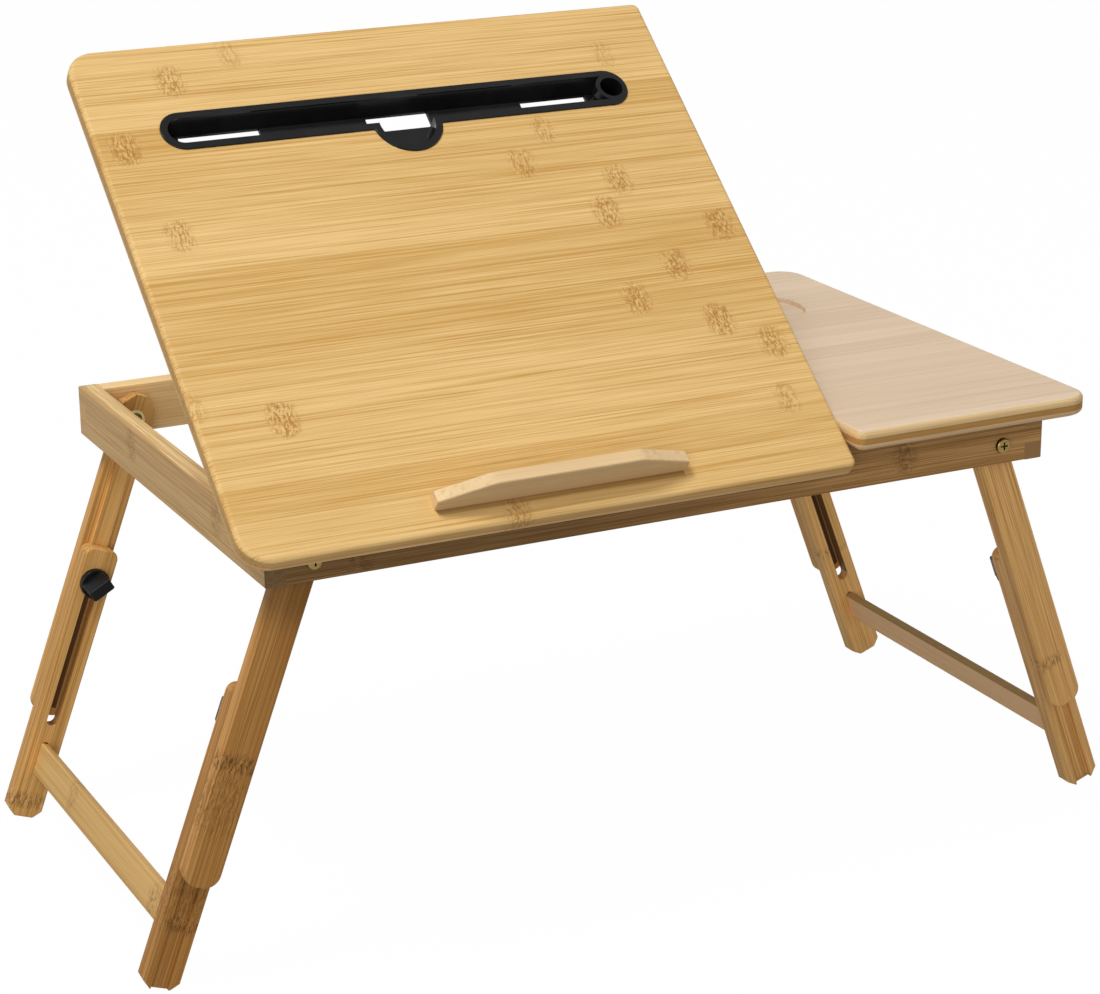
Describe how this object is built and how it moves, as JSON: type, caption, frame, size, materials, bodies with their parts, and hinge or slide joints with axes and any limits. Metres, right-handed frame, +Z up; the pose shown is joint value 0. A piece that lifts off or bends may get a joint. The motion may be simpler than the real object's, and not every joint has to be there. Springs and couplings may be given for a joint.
{
  "type": "laptop bed tray",
  "caption": "Folding bamboo bed tray with a tilting laptop panel, tablet slot, stop ledge, fixed cup panel with a side drawer, and telescoping splayed legs.",
  "frame": {"origin": "on the floor, under the middle of the tray's overall footprint", "axes": "+X along the tray towards the fixed cup panel, +Y from the user's side to the back, +Z up"},
  "size_m": [0.6446, 0.355, 0.487],
  "materials": {
    "panel_bamboo": "satin varnish, fine straight grain",
    "side_bamboo": "satin varnish, pale three-ply",
    "rail_bamboo": "satin varnish",
    "leg_bamboo": "satin varnish with node marks",
    "stretcher_bamboo": "satin varnish",
    "pale_bamboo": "raw pale bamboo",
    "inner_bamboo": "plain sanded",
    "drawer_bamboo": "satin varnish",
    "drawer_base": "thin plywood",
    "black_plastic": "satin moulded",
    "brass": "satin plated",
    "steel": "zinc plated"
  },
  "bodies": {
    "frame": {"front_rail": "rail_bamboo", "back_rail": "rail_bamboo", "left_rail": "rail_bamboo", "right_rail": "rail_bamboo", "divider": "inner_bamboo", "slat_left": "inner_bamboo", "slat_right": "inner_bamboo", "runner_front": "inner_bamboo", "runner_back": "inner_bamboo", "fixed_panel": "side_bamboo", "hinge_rail_leaves": "brass", "hinge_pins": "brass", "prop_pins": "steel", "pivot_bolts": "brass", "sleeve_nuts": "brass", "pivot_washers": "steel"},
    "panel": {"tilting_panel": "panel_bamboo", "slot_insert": "black_plastic", "stop_ledge": "pale_bamboo", "rack_left": "inner_bamboo", "rack_right": "inner_bamboo", "hinge_panel_leaves": "brass"},
    "prop": {"prop_arm_left": "inner_bamboo", "prop_arm_right": "inner_bamboo", "prop_crossbar": "inner_bamboo"},
    "drawer": {"drawer_front": "drawer_bamboo", "drawer_back": "drawer_bamboo", "drawer_bottom": "drawer_base", "drawer_side_front": "drawer_bamboo", "drawer_side_back": "drawer_bamboo"},
    "left_upper_legs": {"upper_leg_front_left": "leg_bamboo", "upper_leg_back_left": "leg_bamboo", "threaded_inserts_left": "brass"},
    "left_lower_legs": {"lower_leg_front_left": "leg_bamboo", "lower_leg_back_left": "leg_bamboo", "stretcher_left": "stretcher_bamboo"},
    "knob_front_left": {"knob_front_left": "black_plastic", "knob_stud_front_left": "steel"},
    "knob_back_left": {"knob_back_left": "black_plastic", "knob_stud_back_left": "steel"},
    "right_upper_legs": {"upper_leg_front_right": "leg_bamboo", "upper_leg_back_right": "leg_bamboo", "threaded_inserts_right": "brass"},
    "right_lower_legs": {"lower_leg_front_right": "leg_bamboo", "lower_leg_back_right": "leg_bamboo", "stretcher_right": "stretcher_bamboo"},
    "knob_front_right": {"knob_front_right": "black_plastic", "knob_stud_front_right": "steel"},
    "knob_back_right": {"knob_back_right": "black_plastic", "knob_stud_back_right": "steel"}
  },
  "joints": [
    {"name": "panel_tilt", "type": "hinge", "parent": "frame", "child": "panel", "pos_m": [-0.08275, -0.15154, 0.2679], "axis": [1, 0, 0], "range_deg": [-40, 0]},
    {"name": "prop_swing", "type": "hinge", "parent": "frame", "child": "prop", "pos_m": [-0.08275, -0.02654, 0.2628], "axis": [1, 0, 0], "range_deg": [-80, 0]},
    {"name": "drawer_slide", "type": "slide", "parent": "frame", "child": "drawer", "axis": [1, 0, 0], "range_m": [0, 0.1]},
    {"name": "left_legs_fold", "type": "hinge", "parent": "frame", "child": "left_upper_legs", "pos_m": [-0.22166, 0.00746, 0.2481], "axis": [0, -1, 0], "range_deg": [0, 110.5]},
    {"name": "left_legs_extend", "type": "slide", "parent": "left_upper_legs", "child": "left_lower_legs", "axis": [0.3502, 0, 0.9367], "range_m": [0, 0.09]},
    {"name": "knob_front_left_turn", "type": "hinge", "parent": "left_upper_legs", "child": "knob_front_left", "pos_m": [-0.25825, -0.11599, 0.15021], "axis": [0, 1, 0], "continuous": true},
    {"name": "knob_back_left_turn", "type": "hinge", "parent": "left_upper_legs", "child": "knob_back_left", "pos_m": [-0.25825, 0.13091, 0.15021], "axis": [0, 1, 0], "continuous": true},
    {"name": "right_legs_fold", "type": "hinge", "parent": "frame", "child": "right_upper_legs", "pos_m": [0.22166, 0.00746, 0.2481], "axis": [0, 1, 0], "range_deg": [0, 110.5]},
    {"name": "right_legs_extend", "type": "slide", "parent": "right_upper_legs", "child": "right_lower_legs", "axis": [-0.3502, 0, 0.9367], "range_m": [0, 0.09]},
    {"name": "knob_front_right_turn", "type": "hinge", "parent": "right_upper_legs", "child": "knob_front_right", "pos_m": [0.25825, -0.11599, 0.15021], "axis": [0, 1, 0], "continuous": true},
    {"name": "knob_back_right_turn", "type": "hinge", "parent": "right_upper_legs", "child": "knob_back_right", "pos_m": [0.25825, 0.13091, 0.15021], "axis": [0, 1, 0], "continuous": true}
  ],
  "couplings": [
    {"joint": "prop_swing", "follows": "panel_tilt", "ratio": 2}
  ]
}
